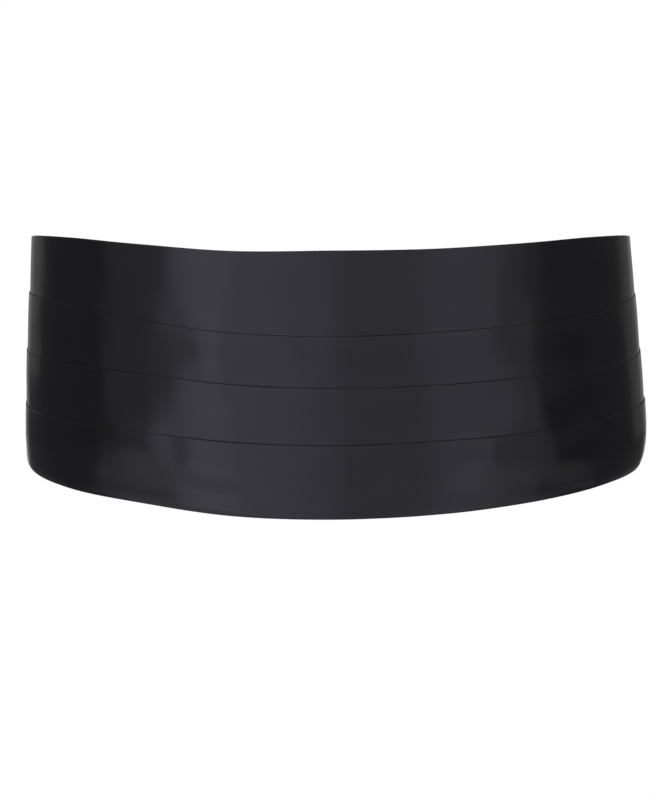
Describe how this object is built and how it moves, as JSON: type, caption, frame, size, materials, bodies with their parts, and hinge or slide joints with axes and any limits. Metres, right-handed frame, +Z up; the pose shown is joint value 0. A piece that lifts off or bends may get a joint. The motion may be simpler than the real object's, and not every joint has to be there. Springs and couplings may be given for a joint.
{
  "type": "pleated satin cummerbund",
  "caption": "Black satin cummerbund with upward pleats, filled out as if worn: a hollow waist form that tapers to bound ends, an adjustable elastic strap and a hook clasp at the back.",
  "frame": {"origin": "the middle of the wearer's waist inside the hollow, at the mid height of the pleated front at centre front", "axes": "+Z up the wearer's body, -Y out of centre front, +X to the wearer's left"},
  "size_m": [0.3242, 0.24, 0.1326],
  "materials": {
    "satin": "polyester satin, fine weave, soft sheen",
    "binding": "the same satin cut as a binding, topstitched",
    "webbing": "matt black woven elastic",
    "metal": "black nickel plate over stamped metal"
  },
  "bodies": {
    "root": {"pleat_band_1": "satin", "pleat_band_2": "satin", "pleat_band_3": "satin", "pleat_band_4": "satin", "end_binding_left": "binding", "end_binding_right": "binding", "hook_strap": "webbing", "eye_strap": "webbing", "slide": "metal", "clasp_hook": "metal", "clasp_eye": "metal"}
  },
  "joints": []
}
